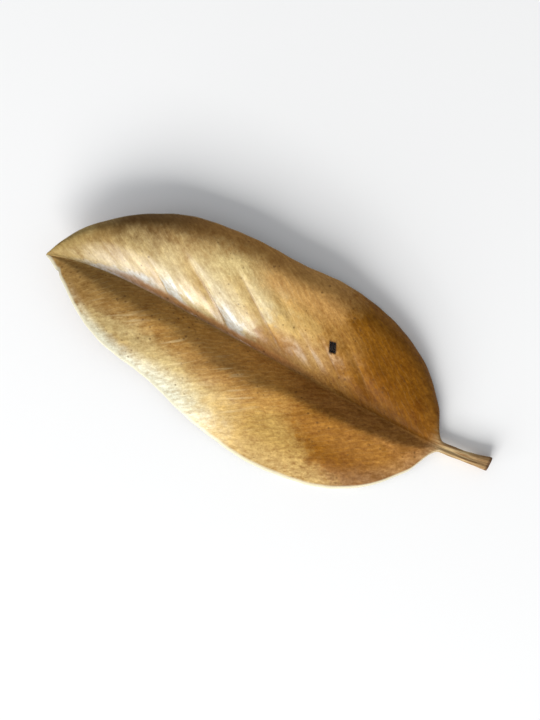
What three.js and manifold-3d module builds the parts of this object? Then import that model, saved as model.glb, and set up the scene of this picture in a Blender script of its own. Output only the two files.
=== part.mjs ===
// A dried, leathery autumn leaf lying on a surface. It grew as one piece, so it is one solid:
// a thin blade folded along its midrib, the midrib standing out underneath, and the stalk that
// the midrib runs on into. Each half of the blade arches up from the fold and droops to its margin.
// Millimetres, +Z up. The tip points to -X and the stalk to +X, and the leaf rests on z = 0.
import * as THREE from "three";
import { LoftGeometry } from "three/addons/geometries/LoftGeometry.js";
import { mergeVertices } from "three/addons/utils/BufferGeometryUtils.js";
import Module from "manifold-3d";

// Driving dimensions. Places along the leaf are measured from the tip, towards the stalk.
const BLADE_LENGTH = 168;
const STALK_LENGTH = 20;
const BLADE_THICKNESS = 0.6;
const RIM_WIDTH = 0.5;
const MIDRIB_BOW = 4.8; // how far the midrib swings sideways, towards +Y
const MIDRIB_BOW_PLACE = 36; // where it swings furthest
const STALK_SWING = 3; // how far the stalk's end swings sideways, towards +Y
const STALK_SWING_START = 158;

// The outline and the fold at a few places: half-widths as seen from above, heights above the surface,
// and the slope of each half where it leaves the midrib. "far" is the +Y half, "near" the -Y half.
const OUTLINE = {
  place: [0, 3, 8, 20, 30, 40, 50, 62, 86, 108, 130, 148, 160, 165.5, 168],
  far: [0, 6, 12.2, 22, 27.5, 31.9, 34.7, 36.4, 37.6, 38.6, 35.6, 26.5, 14.5, 6, 2],
  near: [0, 2.4, 7.3, 18.6, 24.1, 27.2, 29.3, 31.8, 37.9, 39.1, 36, 27, 15, 6, 2],
};
const FOLD = {
  place: [0, 20, 45, 70, 100, 130, 150, 168, 188],
  midribHeight: [15, 8, 2.2, 0.95, 1.65, 2.7, 3.6, 4.0, 3.7],
  farMargin: [15, 13, 9.6, 8.4, 5.6, 0.6, 1.2, 3.8, 3.7],
  nearMargin: [15, 11, 6.2, 4.2, 2.0, 0.3, 1.0, 3.8, 3.7],
  farSlopeDeg: [40, 46, 47, 47, 43, 34, 30, 20, 20],
  nearSlopeDeg: [42, 50, 50, 50, 50, 48, 44, 25, 20],
};

// Each half bends most in one soft crease: the crease's share of the half's whole bend, and its middle and
// half-width as shares of the way from the midrib to the margin.
const CREASE = {
  far: { share: 0.5, middle: 0.82, halfWidth: 0.18 },
  near: { share: 0.66, middle: 0.33, halfWidth: 0.11 },
};

// The midrib under the blade, and the stalk, which is a rib with no blade beside it.
const RIB = {
  place: [0, 30, 70, 120, 160, 171, 179, 185, 188],
  halfWidth: [0.4, 0.8, 1.2, 1.6, 2.0, 1.95, 2.0, 2.5, 2.75],
  depth: [0.5, 1.1, 1.7, 2.3, 2.8, 2.65, 2.7, 3.15, 3.35],
  rise: [0, 0, 0, 0, 0.2, 0.75, 0.9, 1.2, 1.35],
};

// An insect hole through the far half, slanted and four-cornered: half of each of its two edges.
const HOLE = { place: 113.4, across: 16.8, halfLong: [0.85, -1.85], halfShort: [1.2, 0.25] };

// How finely the solid is divided.
const BLADE_STATIONS = 44;
const STALK_STATIONS = 7;
const RIB_COLUMNS = 3;
const BLADE_COLUMNS = 10;
const BEND_STEPS = 60;
const HALVINGS = 30; // of the range in which a margin's slope is sought
const STEEPEST_MARGIN = -1.5; // the low end of that range, in radians
const STATION_EVENNESS = 0.65; // the rest of the stations crowd towards the blade's two ends
const WELD = 1e-3;

// A smooth curve through values given at a few places.
function smoothThrough(places, values) {
  const last = places.length - 1;
  const slopeAt = (i) => {
    const before = Math.max(i - 1, 0);
    const after = Math.min(i + 1, last);
    return (values[after] - values[before]) / (places[after] - places[before]);
  };
  return (place) => {
    let i = 0;
    while (i < last - 1 && place > places[i + 1]) i += 1;
    const gap = places[i + 1] - places[i];
    const t = THREE.MathUtils.clamp((place - places[i]) / gap, 0, 1);
    const rest = 1 - t;
    return (
      rest * rest * ((1 + 2 * t) * values[i] + t * gap * slopeAt(i)) +
      t * t * ((1 + 2 * rest) * values[i + 1] - rest * gap * slopeAt(i + 1))
    );
  };
}

const outlineOf = {
  far: smoothThrough(OUTLINE.place, OUTLINE.far),
  near: smoothThrough(OUTLINE.place, OUTLINE.near),
};
const marginOf = {
  far: smoothThrough(FOLD.place, FOLD.farMargin),
  near: smoothThrough(FOLD.place, FOLD.nearMargin),
};
const slopeOf = {
  far: smoothThrough(FOLD.place, FOLD.farSlopeDeg),
  near: smoothThrough(FOLD.place, FOLD.nearSlopeDeg),
};
const midribHeight = smoothThrough(FOLD.place, FOLD.midribHeight);
const ribHalfWidth = smoothThrough(RIB.place, RIB.halfWidth);
const ribDepth = smoothThrough(RIB.place, RIB.depth);
const ribRise = smoothThrough(RIB.place, RIB.rise);

// The midrib's sideways swing: quickly out from the tip, slowly back to the base, and out with the stalk.
function midribSide(place) {
  const x = place / MIDRIB_BOW_PLACE;
  const swing = Math.max(place - STALK_SWING_START, 0) / (BLADE_LENGTH + STALK_LENGTH - STALK_SWING_START);
  return MIDRIB_BOW * x * Math.exp(1 - x) + STALK_SWING * swing * swing;
}

// How far each small step of a half, from midrib to margin, has got through the half's whole bend.
function bendsOf({ share, middle, halfWidth }) {
  const bends = [];
  for (let i = 0; i < BEND_STEPS; i += 1) {
    const way = (i + 0.5) / BEND_STEPS;
    const inCrease = THREE.MathUtils.smoothstep(way, middle - halfWidth, middle + halfWidth);
    bends.push(THREE.MathUtils.lerp(way, inCrease, share));
  }
  return bends;
}

// The path of a half of unit-long steps, which turns from the inner slope to the outer one.
function pathOf(bends, inner, outer) {
  const path = [{ run: 0, height: 0, slope: inner }];
  for (const bend of bends) {
    const slope = THREE.MathUtils.lerp(inner, outer, bend);
    const { run, height } = path.at(-1);
    path.push({ run: run + Math.cos(slope), height: height + Math.sin(slope), slope });
  }
  return path;
}

// One half of a section: the height and slope of the blade's upper face, above the midrib, at a distance
// from it. The half leaves the midrib at the fold's slope and comes to the margin at the margin's height.
// Past the blade there is only the stalk.
function archOf(half, place) {
  if (place >= BLADE_LENGTH) return () => ({ height: 0, slope: 0 });
  const width = outlineOf[half](place);
  const lift = marginOf[half](place) - midribHeight(place);
  const inner = THREE.MathUtils.degToRad(slopeOf[half](place));
  const bends = bendsOf(CREASE[half]);
  let steepest = STEEPEST_MARGIN;
  let shallowest = inner;
  for (let i = 0; i < HALVINGS; i += 1) {
    const outer = (steepest + shallowest) / 2;
    const margin = pathOf(bends, inner, outer).at(-1);
    if (margin.height * width < lift * margin.run) steepest = outer;
    else shallowest = outer;
  }
  const path = pathOf(bends, inner, shallowest);
  const unit = width / path.at(-1).run;
  return (distance) => {
    let i = 1;
    while (i < BEND_STEPS && path[i].run * unit < distance) i += 1;
    const before = path[i - 1];
    const after = path[i];
    const t = (distance / unit - before.run) / (after.run - before.run);
    const height = unit * THREE.MathUtils.lerp(before.height, after.height, t);
    return { height, slope: THREE.MathUtils.lerp(before.slope, after.slope, t) };
  };
}

const thicknessAt = (place) => (place < BLADE_LENGTH ? BLADE_THICKNESS : 0);

// The height of the blade's lower face above the midrib, without the rib.
function lowerFace(arch, place, distance) {
  const { height, slope } = arch(distance);
  return height - thicknessAt(place) / Math.cos(slope);
}

// Distances from the midrib at which a half's upper and lower faces have points, midrib first.
function columnsOf(ribWidth, width) {
  const columns = [];
  for (let i = 0; i <= RIB_COLUMNS; i += 1) {
    columns.push(ribWidth * Math.sin((Math.PI * i) / 2 / RIB_COLUMNS));
  }
  const blade = Math.max(width - RIM_WIDTH - ribWidth, 0);
  for (let i = 1; i <= BLADE_COLUMNS; i += 1) {
    columns.push(ribWidth + (blade * i) / BLADE_COLUMNS);
  }
  return columns;
}

// The points of one half at a place: its upper face, its lower face, and its margin. The rib hangs as
// a half-ellipse from the lower face down to the keel. What would sink into the surface lies flat on
// it: a stretch of the keel, and each half's margin near the stalk.
function halfSection(half, place, arch, keel) {
  const side = half === "far" ? 1 : -1;
  const ribWidth = ribHalfWidth(place);
  const width = place < BLADE_LENGTH ? outlineOf[half](place) : ribWidth;
  const ribFoot = lowerFace(arch, place, ribWidth);
  const point = (distance, height) => {
    const across = midribSide(place) + side * distance;
    return new THREE.Vector3(place, across, Math.max(midribHeight(place) + height, 0));
  };

  const upper = [];
  const lower = [];
  for (const distance of columnsOf(ribWidth, width)) {
    const round = Math.sqrt(Math.max(1 - (distance / ribWidth) ** 2, 0));
    const inRib = distance < ribWidth;
    const under = inRib ? ribFoot + (keel - ribFoot) * round : lowerFace(arch, place, distance);
    upper.push(point(distance, arch(distance).height + ribRise(place) * round));
    lower.push(point(distance, under));
  }
  const edgeMiddle = (arch(width).height + lowerFace(arch, place, width)) / 2;
  return { upper, lower, margin: point(width, edgeMiddle) };
}

// A whole section as a ring: far margin, over the top to the near margin, and back underneath.
function sectionAt(place) {
  const farArch = archOf("far", place);
  const nearArch = archOf("near", place);
  const ribFeet = [farArch, nearArch].map((arch) => lowerFace(arch, place, ribHalfWidth(place)));
  const keel = (ribFeet[0] + ribFeet[1]) / 2 - ribDepth(place);
  const far = halfSection("far", place, farArch, keel);
  const near = halfSection("near", place, nearArch, keel);
  return [
    far.margin,
    ...far.upper.slice().reverse(),
    ...near.upper.slice(1),
    near.margin,
    ...near.lower.slice().reverse(),
    ...far.lower.slice(1),
  ];
}

// A ring drawn together to its middle, which closes the leaf at one end.
function closedEnd(ring) {
  const middle = ring.reduce((sum, p) => sum.add(p), new THREE.Vector3()).divideScalar(ring.length);
  return ring.map(() => middle.clone());
}

// Places of the sections, from just behind the tip to the end of the stalk.
function stations() {
  const places = [];
  for (let i = 1; i <= BLADE_STATIONS; i += 1) {
    const even = i / BLADE_STATIONS;
    const crowded = (1 - Math.cos(Math.PI * even)) / 2;
    places.push(BLADE_LENGTH * THREE.MathUtils.lerp(crowded, even, STATION_EVENNESS));
  }
  for (let i = 1; i <= STALK_STATIONS; i += 1) {
    places.push(BLADE_LENGTH + (STALK_LENGTH * i) / STALK_STATIONS);
  }
  return places;
}

// The geometry with shared vertices merged and the triangles that collapsed left out.
function welded({ attributes, index }) {
  const bare = new THREE.BufferGeometry().setAttribute("position", attributes.position).setIndex(index);
  const merged = mergeVertices(bare, WELD);
  const kept = [];
  for (let i = 0; i < merged.index.count; i += 3) {
    const corners = [0, 1, 2].map((j) => merged.index.getX(i + j));
    if (new Set(corners).size === 3) kept.push(...corners);
  }
  merged.setIndex(kept);
  return merged;
}

const wasm = await Module();
wasm.setup();

function solidOf(geometry) {
  const closed = welded(geometry);
  return new wasm.Manifold(
    new wasm.Mesh({
      numProp: 3,
      vertProperties: closed.attributes.position.array,
      triVerts: new Uint32Array(closed.index.array),
    }),
  );
}

function geometryOf(solid) {
  const { vertProperties, triVerts } = solid.getMesh();
  return new THREE.BufferGeometry()
    .setAttribute("position", new THREE.BufferAttribute(vertProperties, 3))
    .setIndex(new THREE.BufferAttribute(triVerts, 1));
}

// The blade, midrib and stalk as one lofted solid.
function leafSolid() {
  const rings = stations().map(sectionAt);
  const tip = new THREE.Vector3(0, midribSide(0), midribHeight(0) - BLADE_THICKNESS / 2);
  const sections = [rings[0].map(() => tip.clone()), ...rings, closedEnd(rings.at(-1))];
  return solidOf(new LoftGeometry(sections));
}

// A tall plug in the shape of the hole, which stands right through the blade.
function holePlug() {
  const plugHeight = 40;
  const long = new THREE.Vector2(...HOLE.halfLong);
  const short = new THREE.Vector2(...HOLE.halfShort);
  const corner = (alongLong, alongShort) =>
    new THREE.Vector2().addScaledVector(long, alongLong).addScaledVector(short, alongShort);
  const outline = new THREE.Shape([corner(-1, -1), corner(1, -1), corner(1, 1), corner(-1, 1)]);
  const plug = new THREE.ExtrudeGeometry(outline, { depth: plugHeight, bevelEnabled: false });
  plug.translate(HOLE.place, HOLE.across, midribHeight(HOLE.place) - plugHeight / 2);
  return solidOf(plug);
}

const geometry = geometryOf(leafSolid().subtract(holePlug()));
geometry.computeVertexNormals();
geometry.computeBoundingBox();

const leaf = new THREE.Mesh(
  geometry,
  new THREE.MeshStandardMaterial({ color: 0xc29a58, roughness: 0.42, metalness: 0 }),
);
leaf.name = "leaf";

// The origin is under the middle of the leaf, on the surface that it rests on.
const middle = geometry.boundingBox.getCenter(new THREE.Vector3());
leaf.position.set(-middle.x, -middle.y, -geometry.boundingBox.min.z);

const part = new THREE.Group();
part.add(leaf);

export default part;
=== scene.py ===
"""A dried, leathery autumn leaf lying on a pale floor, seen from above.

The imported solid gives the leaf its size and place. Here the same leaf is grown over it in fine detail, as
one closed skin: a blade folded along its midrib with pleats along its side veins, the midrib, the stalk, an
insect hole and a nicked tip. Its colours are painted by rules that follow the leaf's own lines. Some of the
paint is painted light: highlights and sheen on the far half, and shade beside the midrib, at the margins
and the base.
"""

import math
from types import SimpleNamespace

import bpy
import numpy as np
from mathutils import Matrix, Vector


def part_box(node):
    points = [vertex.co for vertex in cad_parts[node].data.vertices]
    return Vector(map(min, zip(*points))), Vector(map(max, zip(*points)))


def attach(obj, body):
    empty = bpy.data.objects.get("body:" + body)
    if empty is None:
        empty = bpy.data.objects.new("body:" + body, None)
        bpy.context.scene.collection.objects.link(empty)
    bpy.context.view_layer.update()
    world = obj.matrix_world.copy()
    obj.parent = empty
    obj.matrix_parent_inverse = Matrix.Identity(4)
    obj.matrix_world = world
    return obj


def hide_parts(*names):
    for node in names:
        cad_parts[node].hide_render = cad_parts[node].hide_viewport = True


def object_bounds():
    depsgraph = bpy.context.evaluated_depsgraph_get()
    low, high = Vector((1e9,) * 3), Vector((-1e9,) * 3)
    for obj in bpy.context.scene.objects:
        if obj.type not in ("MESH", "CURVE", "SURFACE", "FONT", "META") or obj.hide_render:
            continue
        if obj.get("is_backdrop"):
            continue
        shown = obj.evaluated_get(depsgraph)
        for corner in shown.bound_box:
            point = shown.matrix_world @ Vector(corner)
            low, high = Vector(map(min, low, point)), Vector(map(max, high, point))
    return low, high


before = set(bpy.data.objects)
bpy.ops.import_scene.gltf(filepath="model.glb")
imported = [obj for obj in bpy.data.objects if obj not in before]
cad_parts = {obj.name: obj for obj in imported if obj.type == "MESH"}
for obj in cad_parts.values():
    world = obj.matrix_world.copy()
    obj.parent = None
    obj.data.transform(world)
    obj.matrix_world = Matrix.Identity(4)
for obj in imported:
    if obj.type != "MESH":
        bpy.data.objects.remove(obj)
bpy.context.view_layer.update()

# The leaf is drawn in millimetres, measured from its tip, and then fitted to the frame's leaf. A pair of
# numbers says where a smooth step begins and where it is full.
BLADE_LENGTH = 168.0
STALK_LENGTH = 20.0
DRAWN_LENGTH = BLADE_LENGTH + STALK_LENGTH
MIDRIB_BOW = 4.8
MIDRIB_BOW_PLACE = 36.0
STALK_SWING = 3.0
STALK_SWING_START = 158.0
BLADE_THICKNESS = 0.45
EDGE_THICKNESS = 0.62
EDGE_BEAD = (1.6, 0.2)
TIP_THICKNESS_SHARE = 0.55
TIP_THICKENS = (0, 10)
TIP_POINT_LENGTH = 0.2

# The outline and the fold, as the solid has them. "far" is the +Y half and "near" the -Y half.
OUTLINE_PLACES = [0, 3, 8, 20, 30, 40, 50, 62, 86, 108, 130, 148, 160, 165.5, 168]
OUTLINE = {
    "far": [0, 6, 12.2, 22, 27.5, 31.9, 34.7, 36.4, 37.6, 38.6, 35.6, 26.5, 14.5, 6, 2],
    "near": [0, 2.4, 7.3, 18.6, 24.1, 27.2, 29.3, 31.8, 37.9, 39.1, 36, 27, 15, 6, 2],
}
NARROWEST_HALF = 0.2
FOLD_PLACES = [0, 20, 45, 70, 100, 130, 150, 168, 188]
MIDRIB_HEIGHT = [15, 8, 2.2, 0.95, 1.65, 2.7, 3.6, 4.0, 3.7]
MARGIN_HEIGHT = {
    "far": [15, 13, 9.6, 8.4, 5.6, 0.6, 1.2, 3.8, 3.7],
    "near": [15, 11, 6.2, 4.2, 2.0, 0.3, 1.0, 3.8, 3.7],
}
FOLD_SLOPE_DEG = {
    "far": [40, 46, 47, 47, 43, 34, 30, 20, 20],
    "near": [42, 50, 50, 50, 50, 48, 44, 25, 20],
}
STEEPEST_MARGIN = -1.5

# The fold's rounded bottom, with the midrib's own fine bead in it. Away from it the faces turn square to
# the blade.
FOLD_WIDTH = 0.75
FULL_FOLD_HALF = 8.0
FOLD_BEAD = 0.62
FACES_SQUARE = (0, 2.5)

# The slight unevenness of the grown outline: the height of each wave, its turn for each millimetre and its
# start.
OUTLINE_SWELL = (0.12, 0.19, 1.2)
OUTLINE_RIPPLE = {"far": (0.05, 0.73, 0.4), "near": (0.05, 0.73, 2.1)}
OUTLINE_WAVES_START = (2, 12)
OUTLINE_WAVES_END = (BLADE_LENGTH, BLADE_LENGTH - 14)

# The midrib under the blade, at most a share of each half's width, and the stalk, which swells towards the
# end where it left the twig.
RIB_PLACES = [0, 30, 70, 120, 160, 171, 179, 185, 188]
RIB_HALF_WIDTH = [0.4, 0.8, 1.2, 1.6, 2.0, 1.95, 2.0, 2.5, 2.75]
RIB_DEPTH = [0.5, 1.1, 1.7, 2.3, 2.8, 2.65, 2.7, 3.15, 3.35]
RIB_RISE = [0, 0, 0, 0, 0.2, 0.75, 0.9, 1.2, 1.35]
RIB_LARGEST_SHARE = 0.35
BLADE_TO_STALK = (BLADE_LENGTH - 7, BLADE_LENGTH + 3)
STALK_SIDE_TURN = math.radians(86)
STALK_EXTRA_RISE = 0.15
STALK_CHANNEL = 0.45
STALK_CHANNEL_WIDTH = 0.3

# The fine lengthwise ridges of the dried stalk: height, number round the stalk, turn for each millimetre.
STALK_RIDGES = [(0.035, 6, 0.07), (0.02, 13, -0.12), (0.02, 2, 0.9)]

# The stalk's end is rounded over and a little dished, in a few steps.
STALK_END_START = 187.0
STALK_END_STEPS = [0.15, 0.3, 0.45, 0.6, 0.75, 0.88, 1.0]
STALK_END_NARROWS = 1.45
STALK_END_ROUNDNESS = 1.6
STALK_END_TURN = 2.6

# Side veins leave the midrib towards the tip, with a slight wobble. Some lie in grooves of the upper face,
# each given by the place where its vein leaves the midrib, its depth, its half-width, and how far out from
# the midrib it starts and ends.
VEIN_LEAN = 1.03
VEIN_CURVE = 0.008
VEIN_WOBBLE = 0.7
VEIN_WOBBLE_TURN_ALONG = 0.05
VEIN_WOBBLE_TURN_OUT = 0.21
GROOVES = {
    "far": [
        (51, 0.8, 2.6, 3, 17),
        (76, 1.05, 2.8, 3, 26),
        (102.2, 0.9, 2.8, 5, 32),
        (111, 0.5, 1.8, 4, 17),
        (119, 0.6, 2.4, 16, 33),
        (120, 0.5, 1.8, 4, 18),
        (129, 0.6, 2.4, 4, 24),
        (142, 0.7, 2.6, 5, 26),
    ],
    "near": [
        (50, 0.25, 2.6, 4, 20),
        (69, 0.35, 2.8, 8, 28),
        (92, 0.3, 2.6, 6, 26),
        (109, 0.35, 3.0, 9, 32),
        (131, 0.4, 2.8, 6, 30),
    ],
}

# A groove fades in and out at its ends and towards the margin. All relief fades out before the stalk.
GROOVE_BEFORE_START = 3
GROOVE_AFTER_START = 5
GROOVE_BEFORE_END = 13
GROOVES_FROM_EDGE = (2, 12)
BLADE_SETTLES = (BLADE_LENGTH, BLADE_LENGTH - 12)

# A groove across its vein, in half-widths: it falls gently from the tip's side, turns sharply at the vein
# and climbs to a crest beyond it.
GROOVE_TIP_SIDE = 1.2
GROOVE_STALK_SIDE = 0.85
GROOVE_SHARPNESS = 1.4
GROOVE_SEAM = 0.35
LEAN_TIP_SIDE = 1.8
LEAN_STALK_SIDE = 3.1
CREST_SHARE = 0.45
CREST_AT = 3.2
CREST_WIDTH = 2.2

# Slow waves of the blade, with their turns for each millimetre along and out, and waves of its margin.
WAVE_START = {"far": 0.9, "near": 2.6}
BLADE_WAVE = 0.3
BLADE_WAVE_TURNS = [(0.11, 0.16), (0.05, -0.21)]
BLADE_WAVE_FROM_RIB = (2, 10)
MARGIN_WAVE = 0.35
MARGIN_WAVE_TURN = 0.17
MARGIN_WAVE_FROM_EDGE = (12, 0)
MARGIN_WAVE_ALONG = (4, 30)

# Where a half bends most: the near half a little way out from the midrib, the far half towards its margin.
# Each crease has its share of the half's whole bend. Its middle and half-width are given at a few places.
CREASE_SHARE = {"far": 0.5, "near": 0.66}
CREASE_PLACES = [0, 50, 82, 106, 188]
CREASE_MIDDLE = {"far": [0.82, 0.82, 0.82, 0.82, 0.82], "near": [0.33, 0.33, 0.37, 0.29, 0.29]}
CREASE_HALF_WIDTH = {"far": [0.18, 0.18, 0.18, 0.18, 0.18], "near": [0.14, 0.14, 0.12, 0.06, 0.06]}

# The insect hole, a slanted four-cornered one: where it lies along and across the leaf, half of each of its
# two edges, and its scar's width. Then the nick in the near margin, with its scar.
HOLE_PLACE = 113.4
HOLE_ACROSS = 16.8
HOLE_HALF_LONG = (0.85, -1.85)
HOLE_HALF_SHORT = (1.2, 0.25)
HOLE_SCAR = 0.6
NICK_PLACE = 7.0
NICK_DEPTH = 0.9
NICK_WIDTH = 0.9
NICK_SCAR = 0.45
NICK_SCAR_REACH = (1.8, 0.2)

# How finely the skin is divided.
STATIONS = 300
STATION_POWER = 1.15
HOLE_STATIONS = 12
RIB_COLUMNS = 4
BLADE_COLUMNS = 58
COLUMN_POWER = 1.2
COLUMNS = RIB_COLUMNS + BLADE_COLUMNS + 1
RIM_POINTS = 3
UPPER_COUNT = 2 * COLUMNS - 1
AROUND = 2 * (UPPER_COUNT + RIM_POINTS)
BEND_STEPS = 180
HALVINGS = 40
OUTLINE_SAMPLES = 600


def smooth_through(places, values):
    """A smooth curve through values given at a few places."""
    places = np.asarray(places, float)
    values = np.asarray(values, float)
    slopes = np.gradient(values, places, edge_order=1)
    slopes[1:-1] = (values[2:] - values[:-2]) / (places[2:] - places[:-2])

    def curve(place):
        i = np.clip(np.searchsorted(places, place) - 1, 0, len(places) - 2)
        gap = places[i + 1] - places[i]
        t = np.clip((place - places[i]) / gap, 0, 1)
        rest = 1 - t
        start = (1 + 2 * t) * values[i] + t * gap * slopes[i]
        end = (1 + 2 * rest) * values[i + 1] - rest * gap * slopes[i + 1]
        return rest**2 * start + t**2 * end

    return curve


def smooth_step(low, high, value):
    t = np.clip((value - low) / (high - low), 0, 1)
    return t * t * (3 - 2 * t)


def wave(place, height, turn, start):
    return height * np.sin(place * turn + start)


def midrib_side(place):
    """The midrib's sideways swing: quickly out from the tip, slowly back, and out with the stalk."""
    x = place / MIDRIB_BOW_PLACE
    swing = np.maximum(place - STALK_SWING_START, 0) / (DRAWN_LENGTH - STALK_SWING_START)
    return MIDRIB_BOW * x * np.exp(1 - x) + STALK_SWING * swing**2


def places_along():
    """The places of the skin's rings: closer together at the tip, the hole and the stalk's end."""
    even = np.arange(1, STATIONS) / STATIONS
    evenly = DRAWN_LENGTH * even**STATION_POWER
    reach = 2 * max(np.abs(HOLE_HALF_LONG))
    at_hole = np.linspace(HOLE_PLACE - reach, HOLE_PLACE + reach, HOLE_STATIONS)
    at_end = STALK_END_START + np.array(STALK_END_STEPS) * (DRAWN_LENGTH - STALK_END_START)
    return np.unique(np.concatenate([evenly[evenly < STALK_END_START], at_hole, [STALK_END_START], at_end]))


def half_width_of(half, place):
    """The outline with the nick at the near half's tip, and with the slight unevenness of a grown edge."""
    width = smooth_through(OUTLINE_PLACES, OUTLINE[half])(place)
    uneven = wave(place, *OUTLINE_SWELL) + wave(place, *OUTLINE_RIPPLE[half])
    uneven = uneven * smooth_step(*OUTLINE_WAVES_START, place) * smooth_step(*OUTLINE_WAVES_END, place)
    width = width + uneven
    if half == "near":
        width = width - NICK_DEPTH * np.exp(-(((place - NICK_PLACE) / NICK_WIDTH) ** 2))
    return np.maximum(width, NARROWEST_HALF)


def lateral_of(place, distance):
    """Where the side vein through a point leaves the midrib."""
    return place + VEIN_LEAN * distance + VEIN_CURVE * distance**2


def pleats_of(half, place, distance):
    """The pleats along the side veins: how far they push the blade up or down, how they lean, and where the
    seams at their bottoms lie."""
    wobble = VEIN_WOBBLE * np.sin(VEIN_WOBBLE_TURN_OUT * distance + VEIN_WOBBLE_TURN_ALONG * place)
    lateral = lateral_of(place, distance) + wobble
    pleats = np.zeros_like(distance)
    lean = np.zeros_like(distance)
    seam = np.zeros_like(distance)
    for origin, depth, half_width, start, end in GROOVES[half]:
        off = (lateral - origin) / half_width
        fade_in = smooth_step(start - GROOVE_BEFORE_START, start + GROOVE_AFTER_START, distance)
        strength = depth * fade_in * smooth_step(end, end - GROOVE_BEFORE_END, distance)
        side = np.where(off < 0, GROOVE_TIP_SIDE, GROOVE_STALK_SIDE)
        valley = np.exp(-((np.abs(off) / side) ** GROOVE_SHARPNESS))
        crest = CREST_SHARE * np.exp(-(((off - CREST_AT) / CREST_WIDTH) ** 2))
        pleats += strength * (crest - valley)
        reach = np.where(off < 0, LEAN_TIP_SIDE, LEAN_STALK_SIDE)
        lean += strength * np.tanh(off / GROOVE_SEAM) * np.exp(-((off / reach) ** 2))
        seam += strength * np.exp(-((off / GROOVE_SEAM) ** 2))
    return pleats, lean, seam


def waves_of(half, place, distance, to_edge):
    """How far slow waves push the blade up or down."""
    start = WAVE_START[half]
    blade = BLADE_WAVE * np.ones_like(distance)
    for turn_along, turn_out in BLADE_WAVE_TURNS:
        blade = blade * np.sin(turn_along * place + turn_out * distance + start)
    margin = wave(place, MARGIN_WAVE, MARGIN_WAVE_TURN, start)
    margin = margin * smooth_step(*MARGIN_WAVE_FROM_EDGE, to_edge) * smooth_step(*MARGIN_WAVE_ALONG, place)
    return blade * smooth_step(*BLADE_WAVE_FROM_RIB, distance) + margin


def half_blade(half, place):
    """One half's middle layer at every place: distance from the midrib along the layer, plan offset,
    height over the midrib, slope, the half's whole width along the layer, and the rib's half-width."""
    width = half_width_of(half, place)[:, None]
    midrib = smooth_through(FOLD_PLACES, MIDRIB_HEIGHT)(place)
    lift = (smooth_through(FOLD_PLACES, MARGIN_HEIGHT[half])(place) - midrib)[:, None]
    inner = np.radians(smooth_through(FOLD_PLACES, FOLD_SLOPE_DEG[half])(place))[:, None]

    share = np.linspace(0, 1, BEND_STEPS + 1)[None, :]
    crease_at = smooth_through(CREASE_PLACES, CREASE_MIDDLE[half])(place)[:, None]
    crease_width = smooth_through(CREASE_PLACES, CREASE_HALF_WIDTH[half])(place)[:, None]
    crease = smooth_step(crease_at - crease_width, crease_at + crease_width, share)
    bend = (1 - CREASE_SHARE[half]) * share + CREASE_SHARE[half] * crease
    step = share[0, 1]

    def added_up(values):
        parts = (values[:, 1:] + values[:, :-1]) / 2 * step
        return np.concatenate([np.zeros((len(values), 1)), np.cumsum(parts, 1)], 1)

    # The margin's slope is whatever brings the margin to its height.
    low = np.full_like(inner, STEEPEST_MARGIN)
    high = inner.copy()
    for _ in range(HALVINGS):
        middle = (low + high) / 2
        slope = inner + (middle - inner) * bend
        rise = np.sin(slope).sum(1, keepdims=True)
        run = np.cos(slope).sum(1, keepdims=True)
        too_low = rise * width < lift * run
        low = np.where(too_low, middle, low)
        high = np.where(too_low, high, middle)
    slope = inner + (low - inner) * bend
    run = added_up(np.cos(slope))
    rise = added_up(np.sin(slope))
    whole = width / run[:, -1:]

    rib = smooth_through(RIB_PLACES, RIB_HALF_WIDTH)(place)[:, None]
    rib = np.minimum(rib, RIB_LARGEST_SHARE * whole)
    in_rib = np.sin(np.linspace(0, math.pi / 2, RIB_COLUMNS + 1))[None, :]
    in_blade = 1 - (1 - np.linspace(0, 1, BLADE_COLUMNS + 1)[1:]) ** COLUMN_POWER
    distance = np.concatenate([rib * in_rib, rib + (whole - rib) * in_blade[None, :]], 1)

    at = distance / whole / step
    index = np.clip(at.astype(int), 0, BEND_STEPS - 1)
    part = at - index

    def read(values):
        first = np.take_along_axis(values, index, 1)
        second = np.take_along_axis(values, index + 1, 1)
        return first + (second - first) * part

    return distance, read(run) * whole, read(rise) * whole, read(slope), whole, rib


def grown_half(half, place):
    """One half of the blade at every place: its upper and lower face, and what its paint needs to know."""
    distance, out, height, slope, whole, rib = half_blade(half, place)
    along = np.repeat(place[:, None], COLUMNS, 1)
    to_edge = whole - distance
    pleats, lean, seam = pleats_of(half, along, distance)
    inside = smooth_step(*GROOVES_FROM_EDGE, to_edge)
    settled = smooth_step(*BLADE_SETTLES, along)
    push = (pleats * inside + waves_of(half, along, distance, to_edge)) * settled
    bead = smooth_step(*EDGE_BEAD, to_edge)
    thick = BLADE_THICKNESS + (EDGE_THICKNESS - BLADE_THICKNESS) * bead
    thick = thick * (TIP_THICKNESS_SHARE + (1 - TIP_THICKNESS_SHARE) * smooth_step(*TIP_THICKENS, along))
    # At the fold the faces lie straight over and under the middle layer, and further out square to it.
    square = smooth_step(*FACES_SQUARE, distance)
    sideways = -np.sin(slope) * square
    upwards = np.cos(slope) * square + (1 - square) / np.cos(slope)
    over = push + thick / 2
    under = push - thick / 2
    fold_width = FOLD_WIDTH * np.minimum(1, whole / FULL_FOLD_HALF)
    bead_height = FOLD_BEAD * fold_width * np.exp(-((distance / fold_width) ** 2))
    return SimpleNamespace(
        side=1 if half == "far" else -1,
        along=along,
        distance=distance,
        rib=rib,
        out=out,
        slope=slope,
        to_edge=to_edge,
        pleat=lean * inside * settled,
        seam=seam * inside * settled,
        upper_out=out + sideways * over,
        upper=height + upwards * over + bead_height,
        lower_out=out + sideways * under,
        lower=height + upwards * under,
    )


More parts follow.
